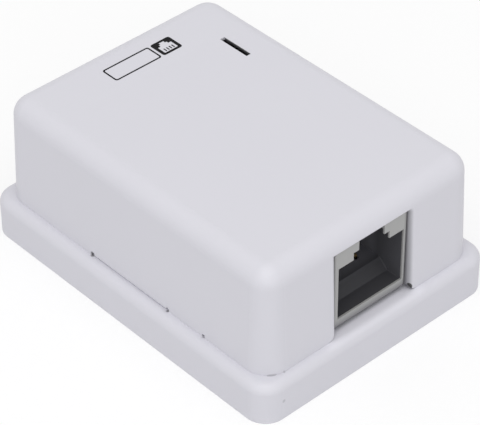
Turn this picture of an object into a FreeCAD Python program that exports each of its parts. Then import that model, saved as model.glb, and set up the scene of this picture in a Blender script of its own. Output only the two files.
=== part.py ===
"""Single-port surface mount jack box: a clip-fastened cover over a base tray that holds a circuit board,
a modular jack and two insulation displacement blocks.

Frame: +Z up, X across the box, Y along it. The jack looks along -Y. The origin is the centre of the
base's underside. Millimetres.
"""
import FreeCAD, Part
import math
import os

V = FreeCAD.Vector

# ---------------------------------------------------------------- driving dimensions
# base tray
BASE_LENGTH = 59.0            # outside, along Y
BASE_WIDTH = 44.0             # outside, along X
BASE_HEIGHT = 6.5             # underside to the ledge under the cover
BASE_CORNER_R = 3.4
BASE_EDGE_R = 1.5             # round edge outside the ledge
BASE_FLOOR = 2.0

# cover
TOTAL_HEIGHT = 23.9
COVER_INSET_END = 1.6         # cover's foot to the base's outline, front and back
COVER_INSET_SIDE = 1.8        # the same on the long sides
COVER_WALL = 1.6
COVER_DRAFT = 0.6             # each side leans in this much from foot to top
COVER_CORNER_R = 3.7          # in plan, at the foot; the draft narrows it upwards
COVER_TOP_EDGE_R = 2.95
COVER_INNER_CHAMFER = 1.3      # where the walls meet the top, inside

# tongue of the cover that drops inside the base, and its snaps
TONGUE_THICKNESS = 0.8
TONGUE_DEPTH = 1.8
TONGUE_SLIP = 0.2             # tongue to base wall
SNAP_WIDTH = 11.0
SNAP_DEPTH = 3.3              # snap tab below the cover's foot
SNAP_BARB = 0.5               # barb beyond the tab's outer face
SNAP_BARB_HEIGHT = 1.1
SNAP_PLAY = 0.3               # barb to the pocket it clicks into

# gaps in the foot of the long sides
PRY_LENGTH = 16.5
PRY_HEIGHT = 0.25
PRY_END_R = 0.28
NOTCH_Y = -15.4
NOTCH_SIZE = 0.5

# slot and rib of the cover's top
TOP_SLOT_WIDTH = 0.85
TOP_SLOT_LENGTH = 5.7
TOP_SLOT_X = 12.7
TOP_SLOT_REAR_Y = 16.7
TOP_SLOT_WEB = 0.5            # thickness of the top round the slot
TOP_SLOT_RELIEF = 1.2         # how far the thin part reaches past the slot
TOP_RIB_THICKNESS = 0.8
TOP_RIB_DEPTH = 2.0
TOP_RIB_LENGTH = 24.5

# opening of the cover for the jack, and the base's shelf below it
PORT_WIDTH = 14.2
PORT_TOP_DROP = 2.85          # below the cover's top
PORT_EDGE_R = 0.6             # round front edge of the opening's sides
PORT_FLARE_R = 1.5
SHELF_DEPTH = 1.9             # back from the cover's front, flush with the ledge
SHELF_GAP = 0.15              # shelf to the cover's tongue
GUIDE_RIB_THICKNESS = 1.0
GUIDE_RIB_REACH = 2.6         # into the cover from its front wall

# knock-out for a surface cable in the cover's rear wall
KNOCKOUT_WIDTH = 7.0
KNOCKOUT_HEIGHT = 6.5
KNOCKOUT_SCORE_WIDTH = 0.7
KNOCKOUT_WEB = 0.5

# circuit board
BOARD_WIDTH = 24.0
BOARD_LENGTH = 35.1
BOARD_THICKNESS = 1.6
BOARD_TOP_Z = 8.7
BOARD_SHELF_GAP = 0.5
BOARD_HOLE_GAP = 0.15         # lead or peg to the wall of its hole
POST_SIZE = 3.6               # corner post under the board, square
POST_INSET = 2.2              # its centre to the board's edges

# board screws
SCREW_JACK_GAP = 2.4          # front screw's head to the jack's back
SCREW_REAR_INSET = 3.4        # rear screw's centre to the board's edge
SCREW_SHANK_R = 0.9
SCREW_HEAD_R = 2.0
SCREW_HEAD_HEIGHT = 1.4
SCREW_LENGTH = 5.6            # below the head
SCREW_PLAY = 0.05
BOSS_SIZE = 4.8               # square
CROSS_WIDTH = 0.5
CROSS_SPAN = 2.2
CROSS_DEPTH = 0.8

# modular jack
JACK_RECESS = 0.48            # face behind the cover's front at mid height
NOSE_WIDTH = 13.6
NOSE_LENGTH = 1.9
NOSE_EDGE_R = 0.3
NOSE_LIP_R = 1.2              # round lower edge of the face
NOSE_SHELF_GAP = 0.43
NOSE_BOARD_GAP = 0.2
SHOULDER_THICKNESS = 0.7
JACK_WIDTH = 15.4             # behind the nose
JACK_LENGTH = 15.6
JACK_PORT_GAP = 0.25          # top of the jack to the cover's opening
MOUTH_WIDTH = 12.4
MOUTH_LIP = 0.25              # board to the mouth
MOUTH_TOP_DROP = 2.85         # top of the jack to the mouth
STEP_1_WIDTH = 6.8
STEP_1_HEIGHT = 1.25
STEP_2_WIDTH = 4.8
CAVITY_DEPTH = 12.2           # face to the stop at the back of the mouth
JACK_SIDE_WALL = 0.8
EAR_LENGTH = 4.0
EAR_REACH = 1.8
EAR_THICKNESS = 1.4
PEG_R = 0.8
PEG_LENGTH = 1.9
EAR_Y_FROM_FACE = 8.0

# insert in the jack, and its lining of the mouth
RIM_DEPTH = 0.3               # face to the lining
LINER_THICKNESS = 0.25
LINER_SLIP = 0.05
LINER_TOP_DROP = 0.8          # top of the jack to the lining
INSERT_SLIP = 0.1
INSERT_FLOOR = 1.7
LEAD_IN = 1.6
GROOVE_SIDE_GAP = 0.1
COMB_DEPTH = 1.1
COMB_TOP_RISE = 3.9           # above the insert's floor

# spring contacts
CONTACT_COUNT = 8
CONTACT_PITCH = 1.02
CONTACT_WIDTH = 0.45
CONTACT_THICKNESS = 0.35
CONTACT_BEND_R = 0.35
CONTACT_TURN_RISE = 0.95
CONTACT_TIP_RISE = 3.05       # tip above the run in the groove
CONTACT_SEAT = 0.65           # run's centre line below the insert's floor
CONTACT_TURN_FROM_FACE = 6.5
LEAD_BELOW_BOARD = 0.9
TAIL_ROWS = (0.9, 2.5)        # the two rows of tails, forward of the jack's back

# insulation displacement blocks and blades
IDC_WAYS = 4
IDC_PITCH = 3.6
IDC_WIDTH = 6.4
IDC_END_WALL = 0.6
IDC_HEIGHT = 10.0
IDC_SLOT_WIDTH = 1.3
IDC_SLOT_DEPTH = 6.0
IDC_CROWN = 1.3               # pointed part of each tooth
IDC_CENTRE_X = 8.4
IDC_REAR_GAP = 2.3            # block to the board's rear edge
BLADE_WIDTH = 2.5
BLADE_THICKNESS = 0.5
BLADE_SLIT = 0.35
BLADE_SLIT_DEPTH = 4.4
BLADE_TOP_DROP = 1.7          # blade's top below the block's top
BLADE_BODY_FOOT = 0.9         # blade's shoulders above the board
BLADE_TAIL_WIDTH = 0.7
BLADE_PLAY = 0.1

# wall screws, cable hole and tie bar in the base
WALL_SLOT_SPACING = 30.0
WALL_SLOT_R = 2.1
WALL_SLOT_LENGTH = 6.6
WALL_SLOT_Y = 2.0
WALL_PAD_RIM = 0.9
WALL_PAD_RISE = 0.7
CABLE_HOLE_WIDTH = 12.0
CABLE_HOLE_LENGTH = 8.0
CABLE_HOLE_CORNER_R = 2.0
CABLE_HOLE_WALL_GAP = 2.6     # hole to the base's rear wall
TIE_BAR_WIDTH = 3.0
TIE_BAR_LENGTH = 5.4
TIE_BAR_HEIGHT = 3.0
TIE_HOLE_LENGTH = 3.0
TIE_HOLE_HEIGHT = 1.5
TIE_BAR_GAP = 1.0             # bar to the cable hole

# ---------------------------------------------------------------- sizes that follow
COVER_LENGTH = BASE_LENGTH - 2 * COVER_INSET_END
COVER_WIDTH = BASE_WIDTH - 2 * COVER_INSET_SIDE
COVER_HEIGHT = TOTAL_HEIGHT - BASE_HEIGHT
COVER_INNER_LENGTH = COVER_LENGTH - 2 * COVER_WALL
COVER_INNER_WIDTH = COVER_WIDTH - 2 * COVER_WALL
COVER_INNER_TOP_Z = TOTAL_HEIGHT - COVER_WALL
COVER_FRONT_Y = -COVER_LENGTH / 2
TONGUE_LENGTH = COVER_INNER_LENGTH + 2 * TONGUE_THICKNESS
TONGUE_WIDTH = COVER_INNER_WIDTH + 2 * TONGUE_THICKNESS
COVER_INNER_CORNER_R = COVER_CORNER_R - COVER_WALL
TONGUE_CORNER_R = COVER_INNER_CORNER_R + TONGUE_THICKNESS
TRAY_LENGTH = TONGUE_LENGTH + 2 * TONGUE_SLIP
TRAY_WIDTH = TONGUE_WIDTH + 2 * TONGUE_SLIP
SNAP_FOOT_Z = BASE_HEIGHT - SNAP_DEPTH

PORT_TOP_Z = TOTAL_HEIGHT - PORT_TOP_DROP
PORT_HALF_AT_FOOT = PORT_WIDTH / 2 + PORT_FLARE_R
SHELF_BACK_Y = COVER_FRONT_Y + SHELF_DEPTH

BOARD_BOTTOM_Z = BOARD_TOP_Z - BOARD_THICKNESS
BOARD_FRONT_Y = SHELF_BACK_Y + BOARD_SHELF_GAP
BOARD_REAR_Y = BOARD_FRONT_Y + BOARD_LENGTH
LEAD_TIP_Z = BOARD_BOTTOM_Z - LEAD_BELOW_BOARD

JACK_TOP_Z = PORT_TOP_Z - JACK_PORT_GAP
LINER_TOP_Z = JACK_TOP_Z - LINER_TOP_DROP
MOUTH_FLOOR_Z = BOARD_TOP_Z + MOUTH_LIP
MOUTH_TOP_Z = JACK_TOP_Z - MOUTH_TOP_DROP
STEP_1_TOP_Z = MOUTH_TOP_Z + STEP_1_HEIGHT
MOUTH_MID_Z = (MOUTH_FLOOR_Z + MOUTH_TOP_Z) / 2


def cover_lean(z):
    """How far the cover's wall leans in at height z."""
    return COVER_DRAFT * (z - BASE_HEIGHT) / COVER_HEIGHT


JACK_FACE_Y = COVER_FRONT_Y + cover_lean(MOUTH_MID_Z) + JACK_RECESS
JACK_SHOULDER_Y = JACK_FACE_Y + NOSE_LENGTH
JACK_BACK_Y = JACK_FACE_Y + JACK_LENGTH
CAVITY_BACK_Y = JACK_FACE_Y + CAVITY_DEPTH
INSERT_FLOOR_Z = BOARD_TOP_Z + INSERT_FLOOR
INSERT_ROOM_Y = JACK_SHOULDER_Y + SHOULDER_THICKNESS
INSERT_FRONT_Y = INSERT_ROOM_Y + INSERT_SLIP
INSERT_WIDTH = JACK_WIDTH - 2 * JACK_SIDE_WALL - 2 * INSERT_SLIP
CONTACT_RUN_Z = INSERT_FLOOR_Z - CONTACT_SEAT
EAR_Y = JACK_FACE_Y + EAR_Y_FROM_FACE
PEG_X = JACK_WIDTH / 2 + EAR_REACH / 2

SCREW_YS = (JACK_BACK_Y + SCREW_JACK_GAP + SCREW_HEAD_R, BOARD_REAR_Y - SCREW_REAR_INSET)

IDC_LENGTH = IDC_WAYS * IDC_PITCH + 2 * IDC_END_WALL
IDC_CENTRE_Y = BOARD_REAR_Y - IDC_REAR_GAP - IDC_LENGTH / 2
IDC_TOP_Z = BOARD_TOP_Z + IDC_HEIGHT

CABLE_HOLE_Y = TRAY_LENGTH / 2 - CABLE_HOLE_WALL_GAP - CABLE_HOLE_LENGTH / 2
TIE_BAR_Y = CABLE_HOLE_Y - CABLE_HOLE_LENGTH / 2 - TIE_BAR_GAP - TIE_BAR_LENGTH / 2
THROUGH = 1.0                 # how far a cutting shape runs past what it cuts


# ---------------------------------------------------------------- shared shapes
def block(x0, x1, y0, y1, z0, z1):
    return Part.makeBox(x1 - x0, y1 - y0, z1 - z0, V(x0, y0, z0))


def centred_block(x, y, width, length, z0, z1):
    return block(x - width / 2, x + width / 2, y - length / 2, y + length / 2, z0, z1)


def post(x, y, radius, z0, z1):
    return Part.makeCylinder(radius, z1 - z0, V(x, y, z0))


def rounded_outline(width, length, radius, z, x=0.0, y=0.0):
    """Closed wire of a rectangle with round corners in the plane at height z."""
    half_x, half_y = width / 2 - radius, length / 2 - radius
    diagonal = radius * math.sqrt(0.5)
    edges, last = [], None
    for sx, sy in ((1, -1), (1, 1), (-1, 1), (-1, -1)):
        centre = V(x + sx * half_x, y + sy * half_y, z)
        first = centre + (V(0, sy * radius, 0) if sx * sy < 0 else V(sx * radius, 0, 0))
        end = centre + (V(sx * radius, 0, 0) if sx * sy < 0 else V(0, sy * radius, 0))
        if last is not None:
            edges.append(Part.makeLine(last, first))
        edges.append(Part.Arc(first, centre + V(sx * diagonal, sy * diagonal, 0), end).toShape())
        last = end
    edges.append(Part.makeLine(last, edges[0].Vertexes[0].Point))
    return Part.Wire(edges)


def rounded_block(width, length, radius, z0, z1, x=0.0, y=0.0):
    return Part.Face(rounded_outline(width, length, radius, z0, x, y)).extrude(V(0, 0, z1 - z0))


def drafted_block(width, length, radius, z0, z1, lean):
    """Rounded block whose sides lean in by lean between z0 and z1, with conical corners."""
    flat_x, flat_y = width / 2 - radius, length / 2 - radius
    across = [(-width / 2, z0), (width / 2, z0), (width / 2 - lean, z1), (lean - width / 2, z1)]
    along = [(-length / 2, z0), (length / 2, z0), (length / 2 - lean, z1), (lean - length / 2, z1)]
    body = prism(across, "Y", -flat_y, 2 * flat_y)
    corners = [Part.makeCone(radius, radius - lean, z1 - z0, V(sx * flat_x, sy * flat_y, z0))
               for sx in (-1, 1) for sy in (-1, 1)]
    return fused(body, [prism(along, "X", -flat_x, 2 * flat_x)] + corners)


def edges_at(solid, z):
    """Edges that lie in the plane at height z."""
    return [e for e in solid.Edges if abs(e.BoundBox.ZMin - z) < 1e-3 and abs(e.BoundBox.ZMax - z) < 1e-3]


def prism(points, axis, start, depth):
    """Polygon pushed along an axis. Points are (y, z) for axis X and (x, z) for axis Y."""
    if axis == "X":
        corners = [V(start, a, b) for a, b in points]
        push = V(depth, 0, 0)
    else:
        corners = [V(a, start, b) for a, b in points]
        push = V(0, depth, 0)
    return Part.Face(Part.makePolygon(corners + corners[:1])).extrude(push)


def rod_along(axis, radius, start, length):
    return Part.makeCylinder(radius, length, start, axis)


def ribbon(points, bend_r, thickness, width, x):
    """Strip bent in the YZ plane along points, round at each bend, centred on x."""
    sides = []
    for side in (1, -1):
        offset = side * thickness / 2
        edges, last = [], None
        for i, point in enumerate(points):
            here = V(x - width / 2, *point)
            before = (here - V(here.x, *points[i - 1])).normalize() if i else None
            after = (V(here.x, *points[i + 1]) - here).normalize() if i + 1 < len(points) else None
            left = V(0, -(before or after).z, (before or after).y)
            if before is None or after is None:
                corner = here + left * offset
                if last is not None:
                    edges.append(Part.makeLine(last, corner))
                last = corner
                continue
            turn = math.atan2(before.y * after.z - before.z * after.y, before.dot(after))
            reach = bend_r * math.tan(abs(turn) / 2)
            centre = here - before * reach + left * (bend_r if turn > 0 else -bend_r)
            radius = bend_r - offset if turn > 0 else bend_r + offset
            start = here - before * reach + left * offset
            left_after = V(0, -after.z, after.y)
            end = here + after * reach + left_after * offset
            middle = centre + ((start + end) * 0.5 - centre).normalize() * radius
            edges.append(Part.makeLine(last, start))
            edges.append(Part.Arc(start, middle, end).toShape())
            last = end
        sides.append((edges, last))
    (one, one_end), (other, other_end) = sides
    cap_end = Part.makeLine(one_end, other_end)
    cap_start = Part.makeLine(other[0].Vertexes[0].Point, one[0].Vertexes[0].Point)
    outline = Part.Wire(Part.sortEdges(one + [cap_end] + other + [cap_start])[0])
    return Part.Face(outline).extrude(V(width, 0, 0))


def fused(shape, others):
    return shape.fuse(others).removeSplitter()


def cut_each(shape, cutters):
    for cutter in cutters:
        shape = shape.cut(cutter)
    return shape


def both_sides(make):
    """The shape that make(side) gives on the left and on the right."""
    return [make(side) for side in (-1, 1)]


# ---------------------------------------------------------------- cover
def port_cutter():
    """Front opening: straight sides that flare round at the cover's foot."""
    y0, depth = COVER_FRONT_Y - THROUGH, COVER_WALL + COVER_DRAFT + 2 * THROUGH
    low = BASE_HEIGHT - SNAP_DEPTH - THROUGH
    opening = block(-PORT_WIDTH / 2, PORT_WIDTH / 2, y0, y0 + depth, low, PORT_TOP_Z)
    flares = []
    for side in (-1, 1):
        x0, x1 = sorted((side * PORT_WIDTH / 2, side * PORT_HALF_AT_FOOT))
        flare_top = BASE_HEIGHT + PORT_FLARE_R
        corner = block(x0, x1, y0, y0 + depth, low, flare_top)
        round_part = rod_along(V(0, 1, 0), PORT_FLARE_R, V(side * PORT_HALF_AT_FOOT, y0, flare_top), depth)
        flares.append(corner.cut(round_part))
    return opening.fuse(flares)


def port_edge_cutter(side):
    """Rounds the front edge of one side of the opening, up along the lean of the wall."""
    lean, rise = cover_lean(PORT_TOP_Z), PORT_TOP_Z - BASE_HEIGHT
    up = V(0, lean, rise)
    x = side * (PORT_WIDTH / 2 + PORT_EDGE_R)
    y = COVER_FRONT_Y + PORT_EDGE_R * up.Length / rise
    x0, x1 = sorted((x, side * (PORT_WIDTH / 2 - THROUGH)))
    corners = [V(x0, COVER_FRONT_Y - THROUGH, BASE_HEIGHT), V(x1, COVER_FRONT_Y - THROUGH, BASE_HEIGHT),
               V(x1, y, BASE_HEIGHT), V(x0, y, BASE_HEIGHT)]
    corner = Part.Face(Part.makePolygon(corners + corners[:1])).extrude(up)
    return corner.cut(rod_along(up, PORT_EDGE_R, V(x, y, BASE_HEIGHT) - up, 3 * up.Length))


def cover_tongue():
    """Ring that drops inside the base tray, which the shelf interrupts."""
    z0 = BASE_HEIGHT - TONGUE_DEPTH
    outer = rounded_block(TONGUE_WIDTH, TONGUE_LENGTH, TONGUE_CORNER_R, z0, BASE_HEIGHT)
    inner = rounded_block(COVER_INNER_WIDTH, COVER_INNER_LENGTH, COVER_INNER_CORNER_R, z0, BASE_HEIGHT)
    return outer.cut(inner)


def snap_tab(side):
    """Springy tab of one long side, with a barb that clicks into the base wall."""
    inner = COVER_INNER_WIDTH / 2
    outer = inner + TONGUE_THICKNESS
    barb_top = SNAP_FOOT_Z + SNAP_BARB_HEIGHT
    profile = [
        (side * inner, BASE_HEIGHT),
        (side * inner, SNAP_FOOT_Z),
        (side * outer, SNAP_FOOT_Z),
        (side * (outer + SNAP_BARB), barb_top - SNAP_BARB_HEIGHT / 3),
        (side * (outer + SNAP_BARB), barb_top),
        (side * outer, barb_top),
        (side * outer, BASE_HEIGHT),
    ]
    return prism(profile, "Y", -SNAP_WIDTH / 2, SNAP_WIDTH)


def pry_cutters(side):
    """Thin gap in the foot of one long side, its round ends and the small notch in front of it."""
    outer = COVER_WIDTH / 2 + THROUGH
    tongue_face = TONGUE_WIDTH / 2
    x0, x1 = sorted((side * tongue_face, side * outer))
    top = BASE_HEIGHT + PRY_HEIGHT
    gap = block(x0, x1, -PRY_LENGTH / 2, PRY_LENGTH / 2, BASE_HEIGHT - THROUGH, top)
    ends = [rod_along(V(1, 0, 0), PRY_END_R, V(x0, y, BASE_HEIGHT + PRY_END_R), x1 - x0)
            for y in (PRY_END_R - PRY_LENGTH / 2, PRY_LENGTH / 2 - PRY_END_R)]
    notch = block(x0, x1, NOTCH_Y - NOTCH_SIZE / 2, NOTCH_Y + NOTCH_SIZE / 2,
                  BASE_HEIGHT - THROUGH, BASE_HEIGHT + NOTCH_SIZE)
    return [gap, notch] + ends


def guide_rib(side):
    """Rib inside the front wall that stands beside the jack and over the board."""
    x0, x1 = sorted((side * (JACK_WIDTH / 2 + TONGUE_SLIP * 2),
                     side * (JACK_WIDTH / 2 + TONGUE_SLIP * 2 + GUIDE_RIB_THICKNESS)))
    front = COVER_FRONT_Y + COVER_WALL / 2 + COVER_DRAFT
    back = COVER_FRONT_Y + COVER_WALL + GUIDE_RIB_REACH
    return block(x0, x1, front, back, BOARD_TOP_Z + SNAP_PLAY, COVER_INNER_TOP_Z + COVER_WALL / 2)


def top_rib():
    """Stiffening rib under the top, which ends at the slot."""
    x1 = TOP_SLOT_X - TOP_SLOT_WIDTH / 2
    y1 = TOP_SLOT_REAR_Y + TOP_RIB_THICKNESS
    z0 = COVER_INNER_TOP_Z - TOP_RIB_DEPTH
    return block(x1 - TOP_RIB_LENGTH, x1, TOP_SLOT_REAR_Y, y1, z0, COVER_INNER_TOP_Z + COVER_WALL / 2)


def knockout_groove():
    """Score line inside the rear wall round a cable knock-out, which leaves a thin web."""
    y1 = COVER_LENGTH / 2 - KNOCKOUT_WEB
    y0 = COVER_LENGTH / 2 - COVER_WALL - COVER_DRAFT
    shapes = []
    for grow in (0, KNOCKOUT_SCORE_WIDTH):
        half = KNOCKOUT_WIDTH / 2 + grow
        round_z = BASE_HEIGHT + KNOCKOUT_HEIGHT - KNOCKOUT_WIDTH / 2
        stem = block(-half, half, y0, y1, BASE_HEIGHT - TONGUE_DEPTH - THROUGH, round_z)
        shapes.append(stem.fuse(rod_along(V(0, 1, 0), half, V(0, y0, round_z), y1 - y0)))
    return shapes[1].cut(shapes[0])


def make_cover():
    shell = drafted_block(COVER_WIDTH, COVER_LENGTH, COVER_CORNER_R, BASE_HEIGHT, TOTAL_HEIGHT, COVER_DRAFT)
    shell = shell.makeFillet(COVER_TOP_EDGE_R, edges_at(shell, TOTAL_HEIGHT))
    hollow = drafted_block(COVER_INNER_WIDTH, COVER_INNER_LENGTH, COVER_INNER_CORNER_R,
                           BASE_HEIGHT, COVER_INNER_TOP_Z, cover_lean(COVER_INNER_TOP_Z))
    hollow = hollow.makeChamfer(COVER_INNER_CHAMFER, edges_at(hollow, COVER_INNER_TOP_Z))
    slot_y = TOP_SLOT_REAR_Y - TOP_SLOT_LENGTH / 2
    relief = centred_block(TOP_SLOT_X, slot_y, TOP_SLOT_WIDTH + 2 * TOP_SLOT_RELIEF,
                           TOP_SLOT_LENGTH + 2 * TOP_SLOT_RELIEF,
                           COVER_INNER_TOP_Z - THROUGH, TOTAL_HEIGHT - TOP_SLOT_WEB)
    ribs = [top_rib()] + both_sides(guide_rib)
    inside = [rib.common(shell) for rib in ribs]
    shell = cut_each(shell, [hollow, relief])
    shell = fused(shell, inside + [cover_tongue()] + both_sides(snap_tab))
    shelf_room = PORT_HALF_AT_FOOT + SHELF_GAP
    tongue_room = block(-shelf_room, shelf_room, COVER_FRONT_Y, SHELF_BACK_Y + SHELF_GAP,
                        BASE_HEIGHT - SNAP_DEPTH, BASE_HEIGHT)
    slot = centred_block(TOP_SLOT_X, slot_y, TOP_SLOT_WIDTH, TOP_SLOT_LENGTH,
                         COVER_INNER_TOP_Z - THROUGH, TOTAL_HEIGHT + THROUGH)
    cutters = [port_cutter(), tongue_room, slot, knockout_groove()] + both_sides(port_edge_cutter)
    for side_cutters in both_sides(pry_cutters):
        cutters += side_cutters
    return cut_each(shell, cutters)


# ---------------------------------------------------------------- base
def shelf():
    """Thick part of the front wall, flush with the ledge, under the jack and the opening."""
    return block(-PORT_HALF_AT_FOOT, PORT_HALF_AT_FOOT, COVER_FRONT_Y, SHELF_BACK_Y,
                 BASE_FLOOR / 2, BASE_HEIGHT)


def snap_pocket(side):
    """Recess in the base wall that takes a barb of the cover."""
    face = TRAY_WIDTH / 2
    x0, x1 = sorted((side * (face - THROUGH), side * (TONGUE_WIDTH / 2 + SNAP_BARB + SNAP_PLAY)))
    half = SNAP_WIDTH / 2 + SNAP_PLAY
    return block(x0, x1, -half, half,
                 SNAP_FOOT_Z - SNAP_PLAY, SNAP_FOOT_Z + SNAP_BARB_HEIGHT + SNAP_PLAY)


def wall_slot(side):
    """Slot for a wall screw; it runs along X."""
    return rounded_block(WALL_SLOT_LENGTH, 2 * WALL_SLOT_R, WALL_SLOT_R * 0.999, -THROUGH,
                         BASE_FLOOR + WALL_PAD_RISE + THROUGH, side * WALL_SLOT_SPACING / 2, WALL_SLOT_Y)


def wall_pad(side):
    """Raised seat round a wall slot, for the screw's head."""
    return centred_block(side * WALL_SLOT_SPACING / 2, WALL_SLOT_Y, WALL_SLOT_LENGTH + 2 * WALL_PAD_RIM,
                         2 * (WALL_SLOT_R + WALL_PAD_RIM), BASE_FLOOR / 2, BASE_FLOOR + WALL_PAD_RISE)


def board_supports():
    """Corner posts and screw bosses under the board."""
    x = BOARD_WIDTH / 2 - POST_INSET
    corner_ys = (BOARD_FRONT_Y + POST_INSET, BOARD_REAR_Y - POST_INSET)
    posts = [centred_block(side * x, y, POST_SIZE, POST_SIZE, BASE_FLOOR / 2, BOARD_BOTTOM_Z)
             for side in (-1, 1) for y in corner_ys]
    bosses = [centred_block(0, y, BOSS_SIZE, BOSS_SIZE, BASE_FLOOR / 2, BOARD_BOTTOM_Z) for y in SCREW_YS]
    return posts + bosses


def pilot_holes():
    radius = SCREW_SHANK_R + SCREW_PLAY
    foot = BOARD_TOP_Z - SCREW_LENGTH - SNAP_PLAY
    return [post(0, y, radius, foot, BOARD_BOTTOM_Z + THROUGH) for y in SCREW_YS]


def tie_bar():
    """Bar for a cable tie beside the cable hole."""
    z1 = BASE_FLOOR + TIE_BAR_HEIGHT
    bar = centred_block(0, TIE_BAR_Y, TIE_BAR_WIDTH, TIE_BAR_LENGTH, BASE_FLOOR / 2, z1)
    hole = centred_block(0, TIE_BAR_Y, TIE_BAR_WIDTH + 2 * THROUGH, TIE_HOLE_LENGTH,
                         BASE_FLOOR, BASE_FLOOR + TIE_HOLE_HEIGHT)
    return bar.cut(hole)


def make_base():
    tray = rounded_block(BASE_WIDTH, BASE_LENGTH, BASE_CORNER_R, 0, BASE_HEIGHT)
    tray = tray.makeFillet(BASE_EDGE_R, edges_at(tray, BASE_HEIGHT))
    hollow = rounded_block(TRAY_WIDTH, TRAY_LENGTH, TONGUE_CORNER_R + TONGUE_SLIP,
                           BASE_FLOOR, BASE_HEIGHT + THROUGH)
    tray = tray.cut(hollow)
    tray = fused(tray, [shelf(), tie_bar()] + board_supports() + both_sides(wall_pad))
    cable_hole = rounded_block(CABLE_HOLE_WIDTH, CABLE_HOLE_LENGTH, CABLE_HOLE_CORNER_R,
                               -THROUGH, BASE_FLOOR + THROUGH, 0, CABLE_HOLE_Y)
    return cut_each(tray, [cable_hole] + both_sides(wall_slot) + both_sides(snap_pocket) + pilot_holes())


# ---------------------------------------------------------------- circuit board and screws
def contact_x(number):
    return (number - (CONTACT_COUNT + 1) / 2) * CONTACT_PITCH


def contact_tail_y(number):
    return JACK_BACK_Y - TAIL_ROWS[number % 2]


def blade_place(number):
    """Centre (x, y) of a blade: one to four on the left block, the rest on the right."""
    side = -1 if number <= IDC_WAYS else 1
    way = (number - 1) % IDC_WAYS
    return side * IDC_CENTRE_X, IDC_CENTRE_Y + (way - (IDC_WAYS - 1) / 2) * IDC_PITCH


def make_board():
    board = block(-BOARD_WIDTH / 2, BOARD_WIDTH / 2, BOARD_FRONT_Y, BOARD_REAR_Y, BOARD_BOTTOM_Z, BOARD_TOP_Z)
    z0, z1 = BOARD_BOTTOM_Z - THROUGH, BOARD_TOP_Z + THROUGH
    tail_hole = CONTACT_WIDTH + 2 * BOARD_HOLE_GAP
    blade_x = BLADE_THICKNESS + 2 * BOARD_HOLE_GAP
    blade_y = BLADE_TAIL_WIDTH + 2 * BOARD_HOLE_GAP
    holes = [centred_block(contact_x(n), contact_tail_y(n), tail_hole, tail_hole, z0, z1)
             for n in range(1, CONTACT_COUNT + 1)]
    holes += [centred_block(*blade_place(n), blade_x, blade_y, z0, z1) for n in range(1, 2 * IDC_WAYS + 1)]
    holes += [post(side * PEG_X, EAR_Y, PEG_R + BOARD_HOLE_GAP, z0, z1) for side in (-1, 1)]
    holes += [post(0, y, SCREW_SHANK_R + BOARD_HOLE_GAP, z0, z1) for y in SCREW_YS]
    return cut_each(board, holes)


def make_screw(y):
    """Self-tapping screw with a cross recess; the thread is left off."""
    shank = post(0, y, SCREW_SHANK_R, BOARD_TOP_Z - SCREW_LENGTH, BOARD_TOP_Z)
    head_top = BOARD_TOP_Z + SCREW_HEAD_HEIGHT
    head = post(0, y, SCREW_HEAD_R, BOARD_TOP_Z, head_top)
    cross = [centred_block(0, y, CROSS_SPAN, CROSS_WIDTH, head_top - CROSS_DEPTH, head_top + THROUGH),
             centred_block(0, y, CROSS_WIDTH, CROSS_SPAN, head_top - CROSS_DEPTH, head_top + THROUGH)]
    return cut_each(fused(shank, [head]), cross)


# ---------------------------------------------------------------- jack
def mouth_shape(grow, y0, y1, floor_z, top_z):
    """The plug's opening with its two latch steps, grown all round, from y0 to y1."""
    tiers = ((MOUTH_WIDTH, MOUTH_TOP_Z + grow), (STEP_1_WIDTH, STEP_1_TOP_Z + grow), (STEP_2_WIDTH, top_z))
    tiers = [block(-width / 2 - grow, width / 2 + grow, y0, y1, floor_z - grow, z1) for width, z1 in tiers]
    return fused(tiers[0], tiers[1:])


def jack_nose():
    """Front of the housing, with a round lip that hangs in front of the board."""
    lip_z = BASE_HEIGHT + NOSE_SHELF_GAP
    nose = rounded_block(NOSE_WIDTH, 2 * NOSE_LENGTH, NOSE_EDGE_R, lip_z, JACK_TOP_Z, 0, JACK_SHOULDER_Y)
    lip = block(-NOSE_WIDTH, NOSE_WIDTH, JACK_FACE_Y, JACK_SHOULDER_Y, lip_z, JACK_TOP_Z)
    lip = lip.makeFillet(NOSE_LIP_R, [e for e in edges_at(lip, lip_z)
                                      if e.BoundBox.YMax < JACK_FACE_Y + 1e-3])
    board_room = block(-NOSE_WIDTH, NOSE_WIDTH, BOARD_FRONT_Y - NOSE_BOARD_GAP, JACK_SHOULDER_Y + THROUGH,
                       lip_z - THROUGH, BOARD_TOP_Z)
    return nose.common(lip).cut(board_room)


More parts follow.
